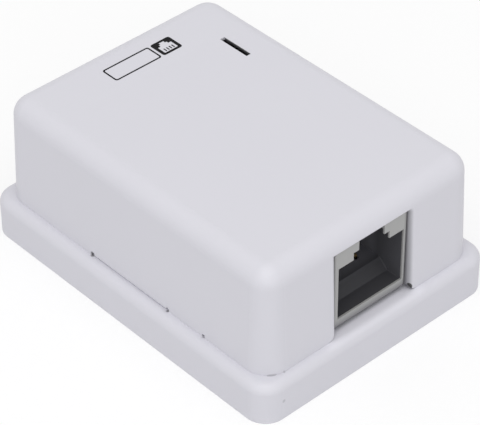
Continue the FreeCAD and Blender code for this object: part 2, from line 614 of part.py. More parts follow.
def make_jack_housing():
    """Outer housing: a narrow nose in the cover's opening, a wider body behind, open at the back."""
    body = block(-JACK_WIDTH / 2, JACK_WIDTH / 2, JACK_SHOULDER_Y, JACK_BACK_Y, BOARD_TOP_Z, JACK_TOP_Z)
    ears, pegs = [], []
    for side in (-1, 1):
        x0, x1 = sorted((side * JACK_WIDTH / 2, side * (JACK_WIDTH / 2 + EAR_REACH)))
        y0, y1 = EAR_Y - EAR_LENGTH / 2, EAR_Y + EAR_LENGTH / 2
        ears.append(block(x0, x1, y0, y1, BOARD_TOP_Z, BOARD_TOP_Z + EAR_THICKNESS))
        pegs.append(post(side * PEG_X, EAR_Y, PEG_R, BOARD_TOP_Z - PEG_LENGTH, BOARD_TOP_Z))
    housing = fused(jack_nose(), [body] + ears + pegs)
    mouth = mouth_shape(0, JACK_FACE_Y - THROUGH, CAVITY_BACK_Y, MOUTH_FLOOR_Z, JACK_TOP_Z + THROUGH)
    liner_room = mouth_shape(LINER_THICKNESS + LINER_SLIP, JACK_FACE_Y + RIM_DEPTH, JACK_BACK_Y + THROUGH,
                             MOUTH_FLOOR_Z, LINER_TOP_Z + LINER_SLIP)
    half_insert = JACK_WIDTH / 2 - JACK_SIDE_WALL
    insert_room = block(-half_insert, half_insert, INSERT_ROOM_Y, JACK_BACK_Y + THROUGH,
                        BOARD_TOP_Z - THROUGH, MOUTH_TOP_Z)
    return cut_each(housing, [mouth, liner_room, insert_room])


def insert_lead_in():
    """Ramp at the front of the insert's floor, which leads the plug in."""
    y0 = INSERT_FRONT_Y
    profile = [(y0 - THROUGH, MOUTH_FLOOR_Z), (y0, MOUTH_FLOOR_Z), (y0 + LEAD_IN, INSERT_FLOOR_Z),
               (y0 + LEAD_IN, INSERT_FLOOR_Z + THROUGH), (y0 - THROUGH, INSERT_FLOOR_Z + THROUGH)]
    return prism(profile, "X", -MOUTH_WIDTH / 2, MOUTH_WIDTH)


def make_jack_insert():
    """Carrier for the contacts: a lining of the mouth, a grooved floor and a back block with a comb."""
    half = INSERT_WIDTH / 2
    body = block(-half, half, INSERT_FRONT_Y, JACK_BACK_Y, BOARD_TOP_Z, MOUTH_TOP_Z - INSERT_SLIP)
    liner_y = JACK_FACE_Y + RIM_DEPTH + LINER_SLIP
    insert = fused(body, [mouth_shape(LINER_THICKNESS, liner_y, JACK_BACK_Y, MOUTH_FLOOR_Z, LINER_TOP_Z)])
    mouth = mouth_shape(0, JACK_FACE_Y, INSERT_FRONT_Y, MOUTH_FLOOR_Z, JACK_TOP_Z)
    cavity = mouth_shape(0, INSERT_FRONT_Y, CAVITY_BACK_Y, INSERT_FLOOR_Z, JACK_TOP_Z)
    cutters = [mouth, cavity, insert_lead_in()]
    groove_half = CONTACT_WIDTH / 2 + GROOVE_SIDE_GAP
    groove_z = CONTACT_RUN_Z - CONTACT_THICKNESS / 2
    turn_y = JACK_FACE_Y + CONTACT_TURN_FROM_FACE - CONTACT_THICKNESS - GROOVE_SIDE_GAP
    for number in range(1, CONTACT_COUNT + 1):
        x, tail_y = contact_x(number), contact_tail_y(number)
        tail_half = CONTACT_BEND_R
        cutters.append(block(x - groove_half, x + groove_half, turn_y, tail_y + tail_half,
                             groove_z, INSERT_FLOOR_Z))
        cutters.append(block(x - groove_half, x + groove_half, tail_y - tail_half, tail_y + tail_half,
                             BOARD_TOP_Z - THROUGH, INSERT_FLOOR_Z))
        cutters.append(block(x - groove_half, x + groove_half, turn_y, CAVITY_BACK_Y + COMB_DEPTH,
                             INSERT_FLOOR_Z, INSERT_FLOOR_Z + COMB_TOP_RISE))
    return cut_each(insert, cutters)


def make_contact(number):
    """Spring contact: tail through the board, run in its groove, turn, and sloping spring."""
    tail_y = contact_tail_y(number)
    turn_y = JACK_FACE_Y + CONTACT_TURN_FROM_FACE
    tip_y = CAVITY_BACK_Y + COMB_DEPTH / 2
    points = [(tail_y, LEAD_TIP_Z), (tail_y, CONTACT_RUN_Z), (turn_y, CONTACT_RUN_Z),
              (turn_y, CONTACT_RUN_Z + CONTACT_TURN_RISE), (tip_y, CONTACT_RUN_Z + CONTACT_TIP_RISE)]
    return ribbon(points, CONTACT_BEND_R, CONTACT_THICKNESS, CONTACT_WIDTH, contact_x(number))


# ---------------------------------------------------------------- terminals
def make_idc_block(side):
    """Block of pointed teeth with a wire slot and a blade pocket at each way."""
    y0, y1 = IDC_CENTRE_Y - IDC_LENGTH / 2, IDC_CENTRE_Y + IDC_LENGTH / 2
    crown_z = IDC_TOP_Z - IDC_CROWN
    slot_z = IDC_TOP_Z - IDC_SLOT_DEPTH
    tooth = IDC_PITCH - IDC_SLOT_WIDTH
    outline = [(y0, BOARD_TOP_Z), (y0, crown_z + IDC_CROWN / 2)]
    for way in range(IDC_WAYS):
        centre = IDC_CENTRE_Y + (way - (IDC_WAYS - 1) / 2) * IDC_PITCH
        low, high = centre - IDC_SLOT_WIDTH / 2, centre + IDC_SLOT_WIDTH / 2
        outline += [(low - tooth / 2, IDC_TOP_Z), (low, crown_z), (low, slot_z),
                    (high, slot_z), (high, crown_z)]
    outline += [(high + tooth / 2, IDC_TOP_Z), (y1, crown_z + IDC_CROWN / 2), (y1, BOARD_TOP_Z)]
    x0 = side * IDC_CENTRE_X - IDC_WIDTH / 2
    body = prism(outline, "X", x0, IDC_WIDTH)
    first = 1 if side < 0 else IDC_WAYS + 1
    cutters = []
    for number in range(first, first + IDC_WAYS):
        x, y = blade_place(number)
        pocket_x = BLADE_THICKNESS + 2 * BLADE_PLAY
        cutters.append(centred_block(x, y, pocket_x, BLADE_WIDTH + 2 * BLADE_PLAY,
                                     BOARD_TOP_Z + BLADE_BODY_FOOT, IDC_TOP_Z + THROUGH))
        cutters.append(centred_block(x, y, pocket_x, BLADE_TAIL_WIDTH + 2 * BLADE_PLAY,
                                     BOARD_TOP_Z - THROUGH, BOARD_TOP_Z + BLADE_BODY_FOOT))
    return cut_each(body, cutters)


def make_blade(number):
    """Forked blade: two tines with a lead-in, shoulders, and a tail through the board."""
    x, y = blade_place(number)
    top = IDC_TOP_Z - BLADE_TOP_DROP
    foot = BOARD_TOP_Z + BLADE_BODY_FOOT
    half, tail, slit = BLADE_WIDTH / 2, BLADE_TAIL_WIDTH / 2, BLADE_SLIT / 2
    lead = half * 0.6
    outline = [(y - tail, LEAD_TIP_Z), (y + tail, LEAD_TIP_Z), (y + tail, foot), (y + half, foot),
               (y + half, top), (y + lead, top), (y + slit, top - lead), (y + slit, top - BLADE_SLIT_DEPTH),
               (y - slit, top - BLADE_SLIT_DEPTH), (y - slit, top - lead), (y - lead, top), (y - half, top),
               (y - half, foot), (y - tail, foot)]
    return prism(outline, "X", x - BLADE_THICKNESS / 2, BLADE_THICKNESS)


# ---------------------------------------------------------------- the parts
def all_parts():
    parts = {
        "base": make_base(),
        "cover": make_cover(),
        "circuit_board": make_board(),
        "board_screw_front": make_screw(SCREW_YS[0]),
        "board_screw_rear": make_screw(SCREW_YS[1]),
        "jack_housing": make_jack_housing(),
        "jack_insert": make_jack_insert(),
        "idc_block_left": make_idc_block(-1),
        "idc_block_right": make_idc_block(1),
    }
    for number in range(1, CONTACT_COUNT + 1):
        parts[f"contact_{number}"] = make_contact(number)
    for number in range(1, 2 * IDC_WAYS + 1):
        parts[f"idc_blade_{number}"] = make_blade(number)
    return parts


os.makedirs("parts", exist_ok=True)
for name, shape in all_parts().items():
    solid = shape.Solids[0] if len(shape.Solids) == 1 else shape
    solid.exportStep(f"parts/{name}.step")
    box = solid.BoundBox
    print(f"{name:18s} solids {len(shape.Solids)} valid {solid.isValid()} volume {solid.Volume:9.2f} "
          f"x {box.XMin:7.2f} {box.XMax:7.2f} y {box.YMin:7.2f} {box.YMax:7.2f} "
          f"z {box.ZMin:6.2f} {box.ZMax:6.2f}")
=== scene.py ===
import math

import bmesh
import bpy
from mathutils import Matrix, Vector


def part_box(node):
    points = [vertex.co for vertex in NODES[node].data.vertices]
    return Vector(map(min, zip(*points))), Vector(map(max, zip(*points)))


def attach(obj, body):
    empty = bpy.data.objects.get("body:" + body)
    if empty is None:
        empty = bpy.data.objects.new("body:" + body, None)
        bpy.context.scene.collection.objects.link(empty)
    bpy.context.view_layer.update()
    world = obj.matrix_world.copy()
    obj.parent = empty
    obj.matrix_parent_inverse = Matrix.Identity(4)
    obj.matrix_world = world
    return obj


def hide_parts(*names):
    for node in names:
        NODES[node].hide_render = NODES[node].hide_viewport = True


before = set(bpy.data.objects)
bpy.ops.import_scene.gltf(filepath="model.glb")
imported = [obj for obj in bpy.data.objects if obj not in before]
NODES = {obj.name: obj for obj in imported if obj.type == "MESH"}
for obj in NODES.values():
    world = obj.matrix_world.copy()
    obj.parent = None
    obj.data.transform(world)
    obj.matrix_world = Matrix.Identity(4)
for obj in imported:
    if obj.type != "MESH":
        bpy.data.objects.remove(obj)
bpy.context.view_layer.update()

MM = 0.001

# ---------------------------------------------------------------- finishes, as linear colours
SHELL_WHITE = (0.690, 0.684, 0.736, 1)
JACK_GREY = (0.38, 0.38, 0.376, 1)
JACK_LIP_PAINTED_SHADE = (0.150, 0.149, 0.162, 1)        # painted shade: the same plastic darkened under the mouth
INSERT_BLACK = (0.053, 0.053, 0.059, 1)
INSERT_PAINTED_LIGHT = (0.145, 0.145, 0.162, 1)          # painted light: paler deep in the mouth and on its sides
MASK_GREEN = (0.020, 0.115, 0.050, 1)
COPPER_RUN_GREEN = (0.045, 0.21, 0.085, 1)      # mask over a copper run
TERMINAL_IVORY = (0.66, 0.65, 0.60, 1)
CONTACT_GOLD = (0.36, 0.26, 0.11, 1)            # darker than real plating: painted shade for the mouth's shadow
BLADE_TIN = (0.62, 0.62, 0.60, 1)
SCREW_ZINC = (0.52, 0.53, 0.55, 1)
SOLDER = (0.60, 0.60, 0.61, 1)
PRINT_BLACK = (0.006, 0.006, 0.007, 1)
LEGEND_WHITE = (0.78, 0.78, 0.76, 1)
WHITE = (1, 1, 1, 1)

MASK_COAT, MASK_COAT_ROUGHNESS = 0.4, 0.12
COPPER_RUN_WAVE = {"Scale": 180.0, "Distortion": 1.6, "Detail": 0.0, "Detail Scale": 0.4}
COPPER_RUN_EDGE = (0.72, 0.78)                  # wave height over which a run begins
COPPER_RUN_RAISE = 0.00003                      # metres

# ---------------------------------------------------------------- prints, mm
PRINT_LIFT = 0.012
PRINT_DEPTH = 0.008
FIELD_LEFT, FIELD_RIGHT = -5.5, 3.2     # blank field for the port's number
FIELD_FRONT, FIELD_REAR = 19.2, 22.5
FIELD_LINE = 0.26
FIELD_CORNER_R, FIELD_INNER_R = 0.4, 0.25
PATCH_LEFT, PATCH_RIGHT = 3.6, 7.2      # black patch with the socket symbol left bare in it
SYMBOL_MARGIN = 0.45
SYMBOL_HALF_WIDTHS = (1.25, 0.75, 0.45) # body, step and latch of the socket symbol
SYMBOL_SHOULDER, SYMBOL_STEP = 1.6, 2.0
SYMBOL_PINS = 4
SYMBOL_PIN_PITCH, SYMBOL_PIN_HALF = 0.5, 0.1
SYMBOL_PIN_FOOT, SYMBOL_PIN_TOP = 0.2, 0.9
LEGEND_SIZE = 1.7
LEGEND_GAP = 1.2                        # terminal block to the middle of its numbers
LEGEND_LINE_GAP, LEGEND_LINE_REACH = 0.15, 0.3

# ---------------------------------------------------------------- screws and solder, mm
SCREW_HEAD_HEIGHT = 1.4
SCREW_THREAD_R = 0.9
SCREW_CORE_R = 0.66
SCREW_THREAD_PITCH = 0.9
SCREW_THREAD_HALF_FOOT = 0.32           # of the pitch
SCREW_THREAD_ROOT = 0.05                # how far the ridge is sunk in the core
SCREW_THREAD_FROM_TIP, SCREW_THREAD_FROM_HEAD = 0.5, 0.35
SCREW_POINT = 1.2                       # length of the tapered point
CROSS_SPAN, CROSS_WIDTH, CROSS_DEPTH = 2.2, 0.5, 0.8
CROSS_TAPER = 0.55                      # foot of the cross recess over its mouth
CROSS_OVER = 0.2                        # how far the cutting blades stand out of the head
CRISP_EDGE = math.radians(40)

SOLDER_FOOT_R = 0.62
SOLDER_TIP_R = 0.30
SOLDER_HEIGHT = 0.65
LEAD_END = 0.05                         # slice of a lead's end that its middle is taken from

# ---------------------------------------------------------------- places of painted shade, painted light and a sink mark, mm
# Each pair says where a painted shade, painted light or sink mark is full and where it has faded out.
FRONT_WALL = (-26.2, -24.5)             # along Y
RIGHT_HALF = (0.0, -1.0)                # along X
OPENING_ROUND = (8.5, 10.0)             # off the middle, along X
JAMB_EDGE = (7.1, 7.9)                  # painted shade on the right-hand side of the opening and its round edge
JAMB_TOP = (20.4, 21.1)
JAMB_PAINTED_SHADE = 0.5
# painted crevice shade round the opening, on the cover and on the base
OPENING_PAINTED_SHADE_COVER, OPENING_PAINTED_SHADE_BASE = 0.15, 0.60
NOSE_LIP = (6.9, 9.4)                   # painted shade under the mouth, along Z
NOSE_SIDE = (6.8, 6.1)                  # painted shade down the nose's right-hand edge, along X
NOSE_SIDE_PAINTED_SHADE = 0.45
MOUTH_DEPTH = (-20.8, -23.4)            # painted light deep in the mouth; along Y
MOUTH_SIDE = (6.15, 5.9)                # off the middle, along X
MOUTH_SIDE_PAINTED_LIGHT = 0.35
SHELF_ACROSS = (7.5, 10.5)              # painted light on the shelf before the jack; off the middle, along X
SHELF_HEIGHT = (6.4, 5.8)
SHELF_PAINTED_LIGHT = 0.13
SLOT_X = 12.7                           # slot through the cover's top, its long walls under painted shade
SLOT_ACROSS = (0.45, 0.75)
SLOT_REAR, SLOT_FRONT = (16.58, 16.66), (11.0, 10.7)
SLOT_BELOW_TOP = (23.75, 23.88)
SLOT_PAINTED_SHADE = 0.85
PRY_SLOT_ALONG = (7.8, 8.0)             # painted light inside the pry slot; off the middle, along Y
PRY_SLOT_HEIGHT = (6.76, 6.80)
PRY_SLOT_DEPTH, PRY_SLOT_FACE = (-19.0, -18.6), (-20.2, -20.25)
PRY_SLOT_PAINTED_LIGHT = 0.16
RIB_Y = 17.1                            # sink mark over the rib under the cover's top
RIB_HALF_WIDTH = 1.2
RIB_MIDDLE_X = -1.4
RIB_ALONG = (10.5, 12.5)
RIB_SINK = 0.02

# Two ends of each dark spot, how far it spreads round them, and how dark it is. Those at the seams and at the
# opening's foot are painted shadows of the gaps there.
OPENING_GAP_PAINTED_SHADOW = ((7.00, -27.65, 7.80), (7.55, -27.85, 7.00), 0.32, 0.95)
SEAM_GAP_PAINTED_SHADOWS = [
    ((-20.20, -8.00, 6.68), (-20.20, -8.00, 6.68), 0.80, 0.75),     # front end of the pry slot
    ((-20.20, 8.15, 6.70), (-20.20, 8.15, 6.90), 0.80, 0.75),       # its rear end
    ((-20.15, -15.40, 6.75), (-20.15, -15.40, 6.75), 0.72, 0.75),   # notch
    ((-19.10, -26.90, 6.56), (-17.95, -27.62, 6.60), 0.08, 0.24),   # open seam at the front corner
    ((-16.85, -27.95, 6.60), (-16.85, -27.95, 6.60), 0.50, 0.22),
]
BASE_SPECK = ((-18.35, -29.50, 3.15), (-18.35, -29.50, 3.35), 0.50, 0.22)
FLECK_CORE = 0.4                        # part of the spread that is fully dark

# ---------------------------------------------------------------- camera and light, metres and watts
CAMERA_AZIMUTH = math.radians(-42.157)
CAMERA_ELEVATION = math.radians(39.199)
CAMERA_ROLL = math.radians(-0.522)
CAMERA_DISTANCE = 0.3476
CAMERA_TARGET = Vector((0, 0, 0.01003))
CAMERA_SENSOR = 36
CAMERA_LENS = 181.65
CAMERA_SHIFT = (0.0082, -0.0229)
CAMERA_NEAREST = 0.01

ROOM_LIGHT = 0.613
SOFTBOX_SIZE = 0.7
SOFTBOXES = {                           # place and power
    "softbox_overhead": ((-0.10, -0.12, 0.75), 1.65),
    "softbox_left": ((-0.40, -0.40, 0.45), 1.45),
}
FLOOR_HALF_SIZE = 3.0
FLOOR_PALE = (0.78, 0.78, 0.79, 1)      # what the floor throws back on the box
FLOOR_LAMP_SHARE = 0.42                 # part of the floor's seen white that the lamps give
FLOOR_OWN_SHARE = 0.59                  # part that it gives by itself


# ---------------------------------------------------------------- building nodes
def place(tree, kind, inputs=(), **settings):
    """A node with its settings, and inputs filled from values or from other nodes' outputs."""
    node = tree.nodes.new(kind)
    for name, value in settings.items():
        setattr(node, name, value)
    for name, value in dict(inputs).items():
        if isinstance(value, bpy.types.NodeSocket):
            tree.links.new(value, node.inputs[name])
        else:
            node.inputs[name].default_value = value
    return node


def calculate(tree, operation, first, second=0.0, third=0.0):
    """The result of a Math node."""
    return place(tree, "ShaderNodeMath", {0: first, 1: second, 2: third}, operation=operation).outputs[0]


def new_group(name, inputs, outputs):
    """A shader node group, its input node and its output node. Sockets are (label, kind, default)."""
    tree = bpy.data.node_groups.new(name, "ShaderNodeTree")
    for label, kind, value in inputs:
        socket = tree.interface.new_socket(label, in_out="INPUT", socket_type="NodeSocket" + kind)
        socket.default_value = value
    for label, kind in outputs:
        tree.interface.new_socket(label, in_out="OUTPUT", socket_type="NodeSocket" + kind)
    return tree, tree.nodes.new("NodeGroupInput").outputs, tree.nodes.new("NodeGroupOutput").inputs


def noise(tree, vector, scale, detail=2.0, rough=0.5):
    settings = {"Vector": vector, "Scale": scale, "Detail": detail, "Roughness": rough}
    return place(tree, "ShaderNodeTexNoise", settings).outputs[0]


def fade(tree, value, span):
    """Smooth mask from a (full, gone) pair: 1 at full and beyond it, 0 at gone and beyond that."""
    full, gone = span
    return place(tree, "ShaderNodeMapRange", {0: value, 1: gone, 2: full, 3: 0.0, 4: 1.0},
                 interpolation_type="SMOOTHSTEP").outputs[0]


def scaled(tree, colour, factor):
    """The colour times a factor."""
    return place(tree, "ShaderNodeMix", {0: 1.0, 6: colour, 7: factor},
                 data_type="RGBA", blend_type="MULTIPLY").outputs[2]


def mixed(tree, mask, colour, other):
    """The colour where the mask is 0, and the other one where it is 1."""
    return place(tree, "ShaderNodeMix", {0: mask, 6: colour, 7: other}, data_type="RGBA").outputs[2]


# ---------------------------------------------------------------- surfaces that several finishes share
TONE_DRIFT_SCALE = 55.0                 # noise scales, per metre
RUBBED_SCALE = 130.0
DULL_PATCH_SCALE = 700.0
DRAWN_LINE_SCALE = 9000.0
RUBBED_SWING, RUBBED_LOW = 0.10, -0.05  # how far the noise moves a value, and from where
DULL_SWING, DULL_LOW = 0.25, 0.86
WORN_SWING, WORN_LOW = 0.22, -0.08
CREVICE_REACH = 0.0014                  # metres
CREVICE_SKY = (0.05, 0.5)               # open sky at which the painted crevice shade is full, and none at all
METAL_PAINTED_SHADE_REACH = 0.003                # metres
METAL_PAINTED_SHADE_SKY = (0.10, 0.80)           # open sky at which painted shade leaves plated metal darkest, and full bright
METAL_DARKEST = 0.10


def moulded_surface_group():
    """Satin moulded plastic: fine spark-eroded grain, slow drift of tone, edges softened by the tool, and
    painted shade in crevices.
    """
    tree, given, result = new_group(
        "moulded_surface",
        [("Colour", "Color", (0.5, 0.5, 0.5, 1)), ("Tone Drift", "Float", 0.03),
         ("Roughness", "Float", 0.45), ("Grain Size", "Float", 0.00018),
         ("Grain Depth", "Float", 0.000004), ("Edge Radius", "Float", 0.0002),
         ("Painted Crevice Shade", "Float", 0.0)],
        [("Colour", "Color"), ("Roughness", "Float"), ("Normal", "Vector")])
    where = place(tree, "ShaderNodeTexCoord").outputs["Object"]
    drift = noise(tree, where, TONE_DRIFT_SCALE, detail=3.0)
    swing = calculate(tree, "MULTIPLY", calculate(tree, "SUBTRACT", drift, 0.5), given["Tone Drift"])
    # painted shade: darker where ambient occlusion finds a crevice
    open_sky = place(tree, "ShaderNodeAmbientOcclusion", {"Distance": CREVICE_REACH}, samples=8)
    closed = fade(tree, open_sky.outputs["AO"], CREVICE_SKY)
    painted_shade = calculate(tree, "MULTIPLY", closed, given["Painted Crevice Shade"])
    tone = calculate(tree, "MULTIPLY", calculate(tree, "ADD", 1.0, swing),
                     calculate(tree, "SUBTRACT", 1.0, painted_shade))
    tree.links.new(scaled(tree, given["Colour"], tone), result["Colour"])

    grain = noise(tree, where, calculate(tree, "DIVIDE", 1.0, given["Grain Size"]), detail=4.0, rough=0.6)
    rubbed = noise(tree, where, RUBBED_SCALE, detail=5.0, rough=0.65)
    uneven = calculate(tree, "MULTIPLY_ADD", rubbed, RUBBED_SWING, RUBBED_LOW)
    tree.links.new(calculate(tree, "ADD", given["Roughness"], uneven), result["Roughness"])

    edge = place(tree, "ShaderNodeBevel", {"Radius": given["Edge Radius"]}, samples=6)
    bump = place(tree, "ShaderNodeBump", {"Strength": 1.0, "Distance": given["Grain Depth"],
                                          "Height": grain, "Normal": edge.outputs[0]})
    tree.links.new(bump.outputs[0], result["Normal"])
    return tree


def plated_surface_group():
    """Stamped and plated metal: drawn lines along one axis, dull patches, and painted shade where it is shut
    in.
    """
    tree, given, result = new_group(
        "plated_surface",
        [("Colour", "Color", (0.6, 0.6, 0.6, 1)), ("Roughness", "Float", 0.25),
         ("Line Stretch", "Vector", (1, 0.05, 1)), ("Line Depth", "Float", 0.000003),
         ("Edge Radius", "Float", 0.00006)],
        [("Colour", "Color"), ("Roughness", "Float"), ("Normal", "Vector")])
    where = place(tree, "ShaderNodeTexCoord").outputs["Object"]
    stretched = place(tree, "ShaderNodeVectorMath", {0: where, 1: given["Line Stretch"]},
                      operation="MULTIPLY").outputs[0]
    lines = noise(tree, stretched, DRAWN_LINE_SCALE, detail=3.0)
    patches = noise(tree, where, DULL_PATCH_SCALE, detail=3.0)
    dull = calculate(tree, "MULTIPLY_ADD", patches, DULL_SWING, DULL_LOW)
    # painted shade: plated metal darker where ambient occlusion finds it shut in
    open_sky = place(tree, "ShaderNodeAmbientOcclusion", {"Distance": METAL_PAINTED_SHADE_REACH}, samples=6)
    darkest_at, bright_at = METAL_PAINTED_SHADE_SKY
    lit = place(tree, "ShaderNodeMapRange", {0: open_sky.outputs["AO"], 1: darkest_at, 2: bright_at,
                                             3: METAL_DARKEST, 4: 1.0}).outputs[0]
    tree.links.new(scaled(tree, given["Colour"], calculate(tree, "MULTIPLY", dull, lit)), result["Colour"])
    worn = calculate(tree, "MULTIPLY_ADD", patches, WORN_SWING, WORN_LOW)
    tree.links.new(calculate(tree, "ADD", given["Roughness"], worn), result["Roughness"])
    edge = place(tree, "ShaderNodeBevel", {"Radius": given["Edge Radius"]}, samples=4)
    bump = place(tree, "ShaderNodeBump", {"Strength": 1.0, "Distance": given["Line Depth"],
                                          "Height": lines, "Normal": edge.outputs[0]})
    tree.links.new(bump.outputs[0], result["Normal"])
    return tree


MOULDED = moulded_surface_group()
PLATED = plated_surface_group()


def new_material(name):
    """An empty node material and its Principled shader, wired to the output."""
    material = bpy.data.materials.new(name)
    material.use_nodes = True
    tree = material.node_tree
    tree.nodes.clear()
    shader = tree.nodes.new("ShaderNodeBsdfPrincipled")
    output = tree.nodes.new("ShaderNodeOutputMaterial")
    tree.links.new(shader.outputs[0], output.inputs["Surface"])
    return material, tree, shader


def finish_from_group(tree, shader, group, values):
    """Puts the group in the material and feeds the shader's colour, roughness and normal from it."""
    surface = place(tree, "ShaderNodeGroup", node_tree=group)
    for label, value in values.items():
        surface.inputs[label].default_value = value
    tree.links.new(surface.outputs["Colour"], shader.inputs["Base Color"])
    tree.links.new(surface.outputs["Roughness"], shader.inputs["Roughness"])
    tree.links.new(surface.outputs["Normal"], shader.inputs["Normal"])
    return surface


PLASTIC_LABELS = {"tone": "Tone Drift", "grain": "Grain Size", "depth": "Grain Depth", "edge": "Edge Radius"}


def begin_plastic(name, colour, roughness, gloss=0.5, **values):
    """A moulded plastic whose group node can still be fed: material, tree, shader and group node."""
    material, tree, shader = new_material(name)
    shader.inputs["Specular IOR Level"].default_value = gloss
    given = {PLASTIC_LABELS[key]: value for key, value in values.items()}
    given.update({"Colour": colour, "Roughness": roughness})
    return material, tree, shader, finish_from_group(tree, shader, MOULDED, given)


def moulded_plastic(name, colour, roughness, **values):
    return begin_plastic(name, colour, roughness, **values)[0]


def plated_metal(name, colour, roughness, stretch):
    material, tree, shader = new_material(name)
    shader.inputs["Metallic"].default_value = 1.0
    finish_from_group(tree, shader, PLATED,
                      {"Colour": colour, "Roughness": roughness, "Line Stretch": stretch})
    return material


# ---------------------------------------------------------------- masks for painted shade, painted light and specks
def place_in_mm(tree):
    """Place on the part, in the part's own frame."""
    where = place(tree, "ShaderNodeTexCoord").outputs["Object"]
    return place(tree, "ShaderNodeVectorMath", {0: where, "Scale": 1 / MM}, operation="SCALE").outputs[0]


def axes_in_mm(tree):
    return place(tree, "ShaderNodeSeparateXYZ", {0: place_in_mm(tree)}).outputs


def all_of(tree, *masks):
    """Product of masks or of factors."""
    product = masks[0]
    for mask in masks[1:]:
        product = calculate(tree, "MULTIPLY", product, mask)
    return product


def off_from(tree, coordinate, middle=0.0):
    """Distance of a coordinate from the middle, to either side."""
    return calculate(tree, "ABSOLUTE", calculate(tree, "SUBTRACT", coordinate, middle))


def distance(tree, where, point):
    return place(tree, "ShaderNodeVectorMath", {0: where, 1: point}, operation="DISTANCE").outputs["Value"]


def darkened(tree, mask, shade):
    return calculate(tree, "MULTIPLY_ADD", mask, -shade, 1.0)


def brightened(tree, mask, share):
    return calculate(tree, "MULTIPLY_ADD", mask, share, 1.0)


def flecks(tree, places):
    """How dark the specks and painted gap shadows leave the surface: each fills a slim oval round its two
    ends.
    """
    where = place_in_mm(tree)
    factor = 1.0
    for start, end, spread, shade in places:
        off_start, off_end = (distance(tree, where, point) for point in (start, end))
        apart = (Vector(end) - Vector(start)).length
        beyond = calculate(tree, "SUBTRACT", calculate(tree, "ADD", off_start, off_end), apart)
        mark = fade(tree, beyond, (spread * FLECK_CORE, spread))
        factor = calculate(tree, "MULTIPLY", factor, darkened(tree, mark, shade))
    return factor


def pry_slot_glow(tree, axes):
    """Painted light: the thin pry slot is paler inside than its own shadow would leave it."""
    inside = all_of(tree, fade(tree, off_from(tree, axes["Y"]), PRY_SLOT_ALONG),
                    fade(tree, axes["Z"], PRY_SLOT_HEIGHT), fade(tree, axes["X"], PRY_SLOT_DEPTH),
                    fade(tree, axes["X"], PRY_SLOT_FACE))
    return brightened(tree, inside, PRY_SLOT_PAINTED_LIGHT)


def shade_opening(tree, axes, surface, painted_shade):
    """Painted crevice shade only round the jack's opening; the other seams stay bright."""
    near = all_of(tree, fade(tree, off_from(tree, axes["X"]), OPENING_ROUND),
                  fade(tree, axes["Y"], FRONT_WALL))
    tree.links.new(calculate(tree, "MULTIPLY", near, painted_shade), surface.inputs["Painted Crevice Shade"])


# ---------------------------------------------------------------- materials
def sink_mark(tree, axes, normal):
    """The cover's top is sunk a little over the rib underneath it."""
    off_rib = off_from(tree, axes["Y"], RIB_Y)
    across = place(tree, "ShaderNodeMapRange", {0: off_rib, 1: 0.0, 2: RIB_HALF_WIDTH, 3: 1.0, 4: 0.0},
                   interpolation_type="SMOOTHERSTEP").outputs[0]
    along = fade(tree, off_from(tree, axes["X"], RIB_MIDDLE_X), RIB_ALONG)
    sunk = calculate(tree, "MULTIPLY", calculate(tree, "MULTIPLY", across, along), -1.0)
    return place(tree, "ShaderNodeBump", {"Strength": 1.0, "Distance": RIB_SINK * MM, "Height": sunk,
                                          "Normal": normal}).outputs[0]


def cover_plastic():
    """White shell plastic, with painted shade on the opening's side and in the slot, and painted shadows of
    the gaps at its seams.
    """
    material, tree, shader, surface = begin_plastic("cover_white_plastic", SHELL_WHITE, 0.42, tone=0.020,
                                                    grain=0.00022, depth=0.000004, edge=0.00010)
    axes = axes_in_mm(tree)
    shade_opening(tree, axes, surface, OPENING_PAINTED_SHADE_COVER)
    # painted shade on the opening's right-hand jamb and its round edge
    jamb = all_of(tree, fade(tree, axes["X"], JAMB_EDGE), fade(tree, axes["X"], RIGHT_HALF),
                  fade(tree, axes["Z"], JAMB_TOP), fade(tree, axes["Y"], FRONT_WALL))
    # painted shade on the slot's long walls
    slot = all_of(tree, fade(tree, off_from(tree, axes["X"], SLOT_X), SLOT_ACROSS),
                  fade(tree, axes["Y"], SLOT_REAR), fade(tree, axes["Y"], SLOT_FRONT),
                  fade(tree, axes["Z"], SLOT_BELOW_TOP))
    factor = all_of(tree, darkened(tree, jamb, JAMB_PAINTED_SHADE), darkened(tree, slot, SLOT_PAINTED_SHADE),
                    flecks(tree, [OPENING_GAP_PAINTED_SHADOW] + SEAM_GAP_PAINTED_SHADOWS), pry_slot_glow(tree, axes))
    tree.links.new(scaled(tree, SHELL_WHITE, factor), surface.inputs["Colour"])
    tree.links.new(sink_mark(tree, axes, surface.outputs["Normal"]), shader.inputs["Normal"])
    return material


def base_plastic():
    """The same white and the same specks and painted gap shadows, with painted light making it a little paler
    on the shelf before the jack.
    """
    material, tree, _, surface = begin_plastic("base_white_plastic", SHELL_WHITE, 0.46, tone=0.025,
                                               grain=0.00022, depth=0.000005, edge=0.00010)
    axes = axes_in_mm(tree)
    shade_opening(tree, axes, surface, OPENING_PAINTED_SHADE_BASE)
    # painted light on the shelf before the jack
    shelf = all_of(tree, fade(tree, off_from(tree, axes["X"]), SHELF_ACROSS),
                   fade(tree, axes["Y"], FRONT_WALL), fade(tree, axes["Z"], SHELF_HEIGHT))
    factor = all_of(tree, brightened(tree, shelf, SHELF_PAINTED_LIGHT), pry_slot_glow(tree, axes),
                    flecks(tree, [BASE_SPECK] + SEAM_GAP_PAINTED_SHADOWS))
    tree.links.new(scaled(tree, SHELL_WHITE, factor), surface.inputs["Colour"])
    return material


